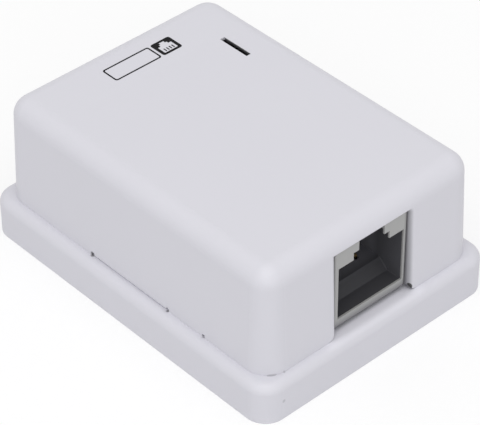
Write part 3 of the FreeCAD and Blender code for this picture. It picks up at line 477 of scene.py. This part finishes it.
def jack_plastic():
    """Grey plastic, with painted shade round the nose's lip and down its right-hand edge."""
    material, tree, _, surface = begin_plastic("jack_grey_plastic", JACK_GREY, 0.42, tone=0.04, grain=0.00012,
                                               depth=0.000003, edge=0.00008)
    axes = axes_in_mm(tree)
    # painted shade: a darker copy of the grey under the mouth
    plastic = mixed(tree, fade(tree, axes["Z"], NOSE_LIP), JACK_GREY, JACK_LIP_PAINTED_SHADE)
    # painted shade down the nose's right-hand edge
    side = fade(tree, axes["X"], NOSE_SIDE)
    tree.links.new(scaled(tree, plastic, darkened(tree, side, NOSE_SIDE_PAINTED_SHADE)), surface.inputs["Colour"])
    return material


def insert_plastic():
    """Dull black plastic, with painted light making it paler deep in the mouth and on its sides."""
    material, tree, _, surface = begin_plastic("insert_black_plastic", INSERT_BLACK, 0.55, gloss=0.2,
                                               tone=0.10, grain=0.00012, depth=0.000004, edge=0.00006)
    axes = axes_in_mm(tree)
    # painted light deep in the mouth and on its sides
    deep = fade(tree, axes["Y"], MOUTH_DEPTH)
    side = fade(tree, off_from(tree, axes["X"]), MOUTH_SIDE)
    painted_light = calculate(tree, "MAXIMUM", deep, calculate(tree, "MULTIPLY", side, MOUTH_SIDE_PAINTED_LIGHT))
    tree.links.new(mixed(tree, painted_light, INSERT_BLACK, INSERT_PAINTED_LIGHT), surface.inputs["Colour"])
    return material


def solder_mask():
    """Green mask under a thin gloss, with copper runs that show through as paler bands."""
    material, tree, shader, surface = begin_plastic("board_solder_mask", MASK_GREEN, 0.30, tone=0.10,
                                                    grain=0.0006, depth=0.000004, edge=0.00005)
    shader.inputs["Coat Weight"].default_value = MASK_COAT
    shader.inputs["Coat Roughness"].default_value = MASK_COAT_ROUGHNESS
    where = place(tree, "ShaderNodeTexCoord").outputs["Object"]
    runs = place(tree, "ShaderNodeTexWave", {"Vector": where, **COPPER_RUN_WAVE},
                 wave_type="BANDS", bands_direction="X", wave_profile="SIN").outputs["Color"]
    begins, full = COPPER_RUN_EDGE
    copper = place(tree, "ShaderNodeMapRange", {0: runs, 1: begins, 2: full, 3: 0.0, 4: 1.0}).outputs[0]
    tree.links.new(mixed(tree, copper, MASK_GREEN, COPPER_RUN_GREEN), surface.inputs["Colour"])
    raised = place(tree, "ShaderNodeBump", {"Strength": 1.0, "Distance": COPPER_RUN_RAISE, "Height": copper,
                                            "Normal": surface.outputs["Normal"]})
    tree.links.new(raised.outputs[0], shader.inputs["Normal"])
    return material


COVER_PLASTIC = cover_plastic()
BASE_PLASTIC = base_plastic()
JACK_PLASTIC = jack_plastic()
INSERT_PLASTIC = insert_plastic()
TERMINAL_PLASTIC = moulded_plastic("terminal_ivory_plastic", TERMINAL_IVORY, 0.40, tone=0.04,
                                   grain=0.00015, depth=0.000003, edge=0.00010)
BOARD_MASK = solder_mask()
GOLD_PLATE = plated_metal("contact_gold_plate", CONTACT_GOLD, 0.24, (1, 0.05, 0.05))
TIN_PLATE = plated_metal("blade_tin_plate", BLADE_TIN, 0.34, (1, 1, 0.05))
ZINC_PLATE = plated_metal("screw_zinc_plate", SCREW_ZINC, 0.30, (1, 1, 1))
SOLDER_METAL = plated_metal("solder_metal", SOLDER, 0.28, (1, 1, 1))
PRINT_INK = moulded_plastic("print_black_ink", PRINT_BLACK, 0.45, gloss=0.08, tone=0.25, grain=0.0001,
                            depth=0.000002, edge=0.00001)
LEGEND_INK = moulded_plastic("legend_white_ink", LEGEND_WHITE, 0.50, tone=0.08, grain=0.0001,
                             depth=0.000002, edge=0.00001)

NODE_FINISHES = {
    "cover": COVER_PLASTIC,
    "base": BASE_PLASTIC,
    "jack_housing": JACK_PLASTIC,
    "jack_insert": INSERT_PLASTIC,
    "circuit_board": BOARD_MASK,
    "idc_block": TERMINAL_PLASTIC,
    "contact": GOLD_PLATE,
    "idc_blade": TIN_PLATE,
    "board_screw": ZINC_PLATE,
}


def dress_nodes():
    """Gives each carried-over node the finish of its kind."""
    for name, node in NODES.items():
        kind = next(k for k in NODE_FINISHES if name == k or name.startswith(k + "_"))
        node.data.materials.clear()
        node.data.materials.append(NODE_FINISHES[kind])


# ---------------------------------------------------------------- pieces
def new_piece(name, mesh, material):
    mesh.name = name
    mesh.materials.clear()
    mesh.materials.append(material)
    piece = bpy.data.objects.new(name, mesh)
    bpy.context.scene.collection.objects.link(piece)
    return piece


def evaluated_mesh(drawn):
    """Mesh of an object with its modifiers or its curve worked out."""
    bpy.context.view_layer.update()
    return bpy.data.meshes.new_from_object(drawn.evaluated_get(bpy.context.evaluated_depsgraph_get()))


def solid_piece(name, shape, material):
    """Turns the shape, drawn in mm, into a piece in metres with smooth faces and crisp edges."""
    bmesh.ops.recalc_face_normals(shape, faces=shape.faces)
    mesh = bpy.data.meshes.new(name)
    shape.to_mesh(mesh)
    shape.free()
    mesh.transform(Matrix.Scale(MM, 4))
    mesh.polygons.foreach_set("use_smooth", [True] * len(mesh.polygons))
    mesh.set_sharp_from_angle(angle=CRISP_EDGE)
    return new_piece(name, mesh, material)


# ---------------------------------------------------------------- printed marks
def printed(name, curve, origin, ink):
    """Thin print from a flat curve or a text, with its origin at the place given in metres."""
    curve.extrude = PRINT_DEPTH * MM / 2
    drawn = bpy.data.objects.new(name + "_drawn", curve)
    drawn.location = origin
    bpy.context.scene.collection.objects.link(drawn)
    mesh = evaluated_mesh(drawn)
    mesh.transform(drawn.matrix_world)
    bpy.data.objects.remove(drawn)
    return new_piece(name, mesh, ink)


def printed_shape(name, outlines, surface_z, ink):
    """Print from closed outlines in mm. An outline inside another one is a hole in it."""
    curve = bpy.data.curves.new(name, "CURVE")
    curve.dimensions = "2D"
    curve.fill_mode = "BOTH"
    for outline in outlines:
        spline = curve.splines.new("POLY")
        spline.points.add(len(outline) - 1)
        for point, (x, y) in zip(spline.points, outline):
            point.co = (x * MM, y * MM, 0, 1)
        spline.use_cyclic_u = True
    return printed(name, curve, (0, 0, surface_z + PRINT_LIFT * MM), ink)


def rectangle(x0, x1, y0, y1):
    return [(x0, y0), (x1, y0), (x1, y1), (x0, y1)]


def rounded_rectangle(x0, x1, y0, y1, radius, steps=6):
    points = []
    for cx, cy, start in ((x1 - radius, y0 + radius, -90), (x1 - radius, y1 - radius, 0),
                          (x0 + radius, y1 - radius, 90), (x0 + radius, y0 + radius, 180)):
        for step in range(steps + 1):
            angle = math.radians(start + 90 * step / steps)
            points.append((cx + radius * math.cos(angle), cy + radius * math.sin(angle)))
    return points


def socket_symbol(centre, low, high):
    """Outline of a stepped plug socket, and its pins."""
    body, step, latch = SYMBOL_HALF_WIDTHS
    shoulder_y, step_y = low + SYMBOL_SHOULDER, low + SYMBOL_STEP
    half = [(body, low), (body, shoulder_y), (step, shoulder_y),
            (step, step_y), (latch, step_y), (latch, high)]
    outline = [(centre + x, y) for x, y in half] + [(centre - x, y) for x, y in reversed(half)]
    pins = []
    for pin in range(SYMBOL_PINS):
        x = centre + (pin - (SYMBOL_PINS - 1) / 2) * SYMBOL_PIN_PITCH
        pins.append(rectangle(x - SYMBOL_PIN_HALF, x + SYMBOL_PIN_HALF,
                              low + SYMBOL_PIN_FOOT, low + SYMBOL_PIN_TOP))
    return [outline] + pins


def port_mark():
    """Blank number field and a socket symbol bare in a black patch, printed on the cover near its rear."""
    field = [rounded_rectangle(FIELD_LEFT, FIELD_RIGHT, FIELD_FRONT, FIELD_REAR, FIELD_CORNER_R),
             rounded_rectangle(FIELD_LEFT + FIELD_LINE, FIELD_RIGHT - FIELD_LINE,
                               FIELD_FRONT + FIELD_LINE, FIELD_REAR - FIELD_LINE, FIELD_INNER_R)]
    patch = rounded_rectangle(PATCH_LEFT, PATCH_RIGHT, FIELD_FRONT, FIELD_REAR, FIELD_CORNER_R)
    symbol = socket_symbol((PATCH_LEFT + PATCH_RIGHT) / 2, FIELD_FRONT + SYMBOL_MARGIN,
                           FIELD_REAR - SYMBOL_MARGIN)
    mark = printed_shape("cover_port_mark", field + [patch] + symbol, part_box("cover")[1].z, PRINT_INK)
    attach(mark, "cover_body")


def block_outline(side, surface_z):
    """White line round a terminal block."""
    low, high = (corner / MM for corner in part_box("idc_block_" + side))
    lines = [rectangle(low.x - off, high.x + off, low.y - off, high.y + off)
             for off in (LEGEND_LINE_REACH, LEGEND_LINE_GAP)]
    outline = printed_shape(f"board_outline_{side}", lines, surface_z, LEGEND_INK)
    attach(outline, "base_body")


def terminal_number(number, surface_z):
    """White number on the board beside a terminal, between the two blocks."""
    low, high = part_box(f"idc_blade_{number}")
    if high.x < 0:
        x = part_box("idc_block_left")[1].x + LEGEND_GAP * MM
    else:
        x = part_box("idc_block_right")[0].x - LEGEND_GAP * MM
    name = f"board_number_{number}"
    text = bpy.data.curves.new(name, "FONT")
    text.body = str(number)
    text.size = LEGEND_SIZE * MM
    text.align_x = "CENTER"
    text.align_y = "CENTER"
    piece = printed(name, text, (x, (low.y + high.y) / 2, surface_z + PRINT_LIFT * MM), LEGEND_INK)
    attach(piece, "base_body")


def board_legend():
    """White numbers one to eight beside the terminals, and a line round each terminal block."""
    surface_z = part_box("circuit_board")[1].z
    for side in ("left", "right"):
        block_outline(side, surface_z)
    for number in range(1, 9):
        terminal_number(number, surface_z)


# ---------------------------------------------------------------- solder and screws
def polar(radius, angle, height):
    return Vector((radius * math.cos(angle), radius * math.sin(angle), height))


def add_lathe(shape, profile, centre, steps):
    """Adds a round solid from (radius, height) pairs, turned about an upright line through the centre."""
    rings = []
    for radius, height in profile:
        count = steps if radius > 0 else 1
        rings.append([shape.verts.new(centre + polar(radius, math.tau * i / steps, height))
                      for i in range(count)])
    for low, high in zip(rings, rings[1:]):
        for i in range(steps):
            corners = []
            for ring, index in ((low, i), (low, i + 1), (high, i + 1), (high, i)):
                vertex = ring[index % len(ring)]
                if vertex not in corners:
                    corners.append(vertex)
            shape.faces.new(corners)


def add_thread(shape, low, high, steps=20):
    """Adds a helical ridge round the screw's core, run out at both ends."""
    root = SCREW_CORE_R - SCREW_THREAD_ROOT
    half_foot = SCREW_THREAD_HALF_FOOT * SCREW_THREAD_PITCH
    count = int((high - low) / SCREW_THREAD_PITCH * steps)
    last = None
    for i in range(count + 1):
        angle = math.tau * i / steps
        height = low + (high - low) * i / count
        run_out = min(1.0, i / steps, (count - i) / steps)
        crest = SCREW_CORE_R + (SCREW_THREAD_R - SCREW_CORE_R) * run_out
        ring = [shape.verts.new(polar(radius, angle, height + lift))
                for radius, lift in ((root, -half_foot), (crest, 0), (root, half_foot))]
        if last:
            for j in range(3):
                k = (j + 1) % 3
                shape.faces.new((last[j], last[k], ring[k], ring[j]))
        else:
            shape.faces.new(ring[::-1])
        last = ring
    shape.faces.new(last)


def cross_blade(along_x):
    """Tapered block that cuts one arm pair of the cross recess, its mouth at height 0."""
    shape = bmesh.new()
    ends = []
    for height, narrow in ((CROSS_OVER, 1.0), (-CROSS_DEPTH, CROSS_TAPER)):
        span, width = CROSS_SPAN / 2 * narrow, CROSS_WIDTH / 2 * narrow
        half_x, half_y = (span, width) if along_x else (width, span)
        ends.append([shape.verts.new((x * half_x, y * half_y, height))
                     for x, y in ((-1, -1), (1, -1), (1, 1), (-1, 1))])
    top, foot = ends
    shape.faces.new(top)
    shape.faces.new(foot[::-1])
    for i in range(4):
        j = (i + 1) % 4
        shape.faces.new((top[i], foot[i], foot[j], top[j]))
    return solid_piece("cross_blade", shape, ZINC_PLATE)


def plain_screw(length, head_r):
    """Pointed core and rounded pan head in one turned solid, the head's top at height 0."""
    seat = -SCREW_HEAD_HEIGHT
    core = [(0, -length), (0.22, 0.12 - length), (SCREW_CORE_R, SCREW_POINT - length), (SCREW_CORE_R, seat)]
    head = [(head_r - 0.08, seat), (head_r, seat + 0.08), (head_r, seat + 0.55), (head_r - 0.10, -0.50),
            (head_r - 0.35, -0.22), (head_r - 0.80, -0.06), (0, 0)]
    shape = bmesh.new()
    add_lathe(shape, core + head, Vector(), steps=40)
    return solid_piece("plain_screw", shape, ZINC_PLATE)


def board_screw(node_name):
    """Pan-head cross-recess thread-forming screw in place of the plain one."""
    low, high = (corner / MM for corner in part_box(node_name))
    length = high.z - low.z
    blank = plain_screw(length, (high.x - low.x) / 2)
    blades = [cross_blade(along_x) for along_x in (True, False)]
    for blade in blades:
        cut = blank.modifiers.new("cross", "BOOLEAN")
        cut.object = blade
        cut.solver = "EXACT"
    recessed = evaluated_mesh(blank)
    for leftover in [blank] + blades:
        bpy.data.objects.remove(leftover)
    recessed.transform(Matrix.Scale(1 / MM, 4))
    shape = bmesh.new()
    shape.from_mesh(recessed)
    add_thread(shape, SCREW_THREAD_FROM_TIP - length, -SCREW_HEAD_HEIGHT - SCREW_THREAD_FROM_HEAD)
    head_top = Vector(((low.x + high.x) / 2, (low.y + high.y) / 2, high.z))
    bmesh.ops.translate(shape, vec=head_top, verts=shape.verts)
    detailed = solid_piece(node_name + "_detailed", shape, ZINC_PLATE)
    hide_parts(node_name)
    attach(detailed, "base_body")


def lead_tip(node):
    """Middle of the lowest end of a contact or a blade, in mm."""
    points = [node.matrix_world @ vertex.co / MM for vertex in node.data.vertices]
    lowest = min(point.z for point in points)
    tip = [point for point in points if point.z < lowest + LEAD_END]
    return sum(tip, Vector()) / len(tip)


def solder_joints():
    """A small cone of solder on each lead where it leaves the board's underside."""
    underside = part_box("circuit_board")[0].z / MM
    profile = [(0, -SOLDER_HEIGHT), (SOLDER_TIP_R * 0.8, -SOLDER_HEIGHT), (SOLDER_TIP_R, 0.1 - SOLDER_HEIGHT),
               (0.36, -0.3), (0.46, -0.12), (SOLDER_FOOT_R, -0.02), (SOLDER_FOOT_R, 0.02), (0, 0.02)]
    shape = bmesh.new()
    for name, node in NODES.items():
        if name.startswith(("contact_", "idc_blade_")):
            tip = lead_tip(node)
            add_lathe(shape, profile, Vector((tip.x, tip.y, underside)), steps=20)
    joints = solid_piece("board_solder_joints", shape, SOLDER_METAL)
    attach(joints, "base_body")


dress_nodes()
port_mark()
board_legend()
board_screw("board_screw_front")
board_screw("board_screw_rear")
solder_joints()


# ---------------------------------------------------------------- room
def seen_directly(tree):
    """1 for rays that come from the eye straight, mirrored or let through, 0 for those that carry light."""
    path = place(tree, "ShaderNodeLightPath").outputs
    return calculate(tree, "MAXIMUM", path["Is Camera Ray"],
                     calculate(tree, "MAXIMUM", path["Is Glossy Ray"], path["Is Transmission Ray"]))


def make_floor():
    """Plain pale floor, white to the eye, which still takes the soft shadow of the box."""
    half = FLOOR_HALF_SIZE
    corners = [(x, y, 0) for x, y in rectangle(-half, half, -half, half)]
    mesh = bpy.data.meshes.new("floor")
    mesh.from_pydata(corners, [], [(0, 1, 2, 3)])
    material = bpy.data.materials.new("floor_white")
    material.use_nodes = True
    tree = material.node_tree
    tree.nodes.clear()
    plain = place(tree, "ShaderNodeBsdfDiffuse", {"Color": FLOOR_PALE})
    lit = place(tree, "ShaderNodeBsdfDiffuse",
                {"Color": (FLOOR_LAMP_SHARE, FLOOR_LAMP_SHARE, FLOOR_LAMP_SHARE, 1)})
    own = place(tree, "ShaderNodeEmission", {"Color": WHITE, "Strength": FLOOR_OWN_SHARE})
    white = place(tree, "ShaderNodeAddShader", {0: lit.outputs[0], 1: own.outputs[0]})
    chosen = place(tree, "ShaderNodeMixShader",
                   {0: seen_directly(tree), 1: plain.outputs[0], 2: white.outputs[0]})
    output = tree.nodes.new("ShaderNodeOutputMaterial")
    tree.links.new(chosen.outputs[0], output.inputs["Surface"])
    floor = new_piece("floor", mesh, material)


def make_room_light():
    """Even pale surroundings, white where they are seen, and two wide softboxes."""
    world = bpy.data.worlds.new("room")
    world.use_nodes = True
    tree = world.node_tree
    tree.nodes.clear()
    strength = calculate(tree, "MULTIPLY_ADD", seen_directly(tree), 1.0 - ROOM_LIGHT, ROOM_LIGHT)
    background = place(tree, "ShaderNodeBackground", {"Color": WHITE, "Strength": strength})
    output = tree.nodes.new("ShaderNodeOutputWorld")
    tree.links.new(background.outputs[0], output.inputs["Surface"])
    bpy.context.scene.world = world

    for name, (stand, power) in SOFTBOXES.items():
        softbox = bpy.data.lights.new(name, "AREA")
        softbox.shape = "SQUARE"
        softbox.size = SOFTBOX_SIZE
        softbox.energy = power
        lamp = bpy.data.objects.new(name, softbox)
        lamp.location = stand
        lamp.rotation_euler = (CAMERA_TARGET - lamp.location).to_track_quat("-Z", "Y").to_euler()
        bpy.context.scene.collection.objects.link(lamp)


def make_camera():
    """Camera above the front left corner, looking down at the box."""
    back = Vector((math.sin(CAMERA_AZIMUTH) * math.cos(CAMERA_ELEVATION),
                   -math.cos(CAMERA_AZIMUTH) * math.cos(CAMERA_ELEVATION),
                   math.sin(CAMERA_ELEVATION)))
    right = Vector((0, 0, 1)).cross(back).normalized()
    up = back.cross(right)
    tilted_right = right * math.cos(CAMERA_ROLL) + up * math.sin(CAMERA_ROLL)
    tilted_up = up * math.cos(CAMERA_ROLL) - right * math.sin(CAMERA_ROLL)
    turn = Matrix((tilted_right, tilted_up, back)).transposed().to_4x4()
    lens = bpy.data.cameras.new("camera")
    lens.sensor_width = CAMERA_SENSOR
    lens.lens = CAMERA_LENS
    lens.shift_x, lens.shift_y = CAMERA_SHIFT
    lens.clip_start = CAMERA_NEAREST
    camera = bpy.data.objects.new("camera", lens)
    camera.matrix_world = Matrix.Translation(CAMERA_TARGET + back * CAMERA_DISTANCE) @ turn
    bpy.context.scene.collection.objects.link(camera)
    bpy.context.scene.camera = camera


make_floor()
make_room_light()
make_camera()
bpy.context.scene.view_settings.view_transform = "Standard"
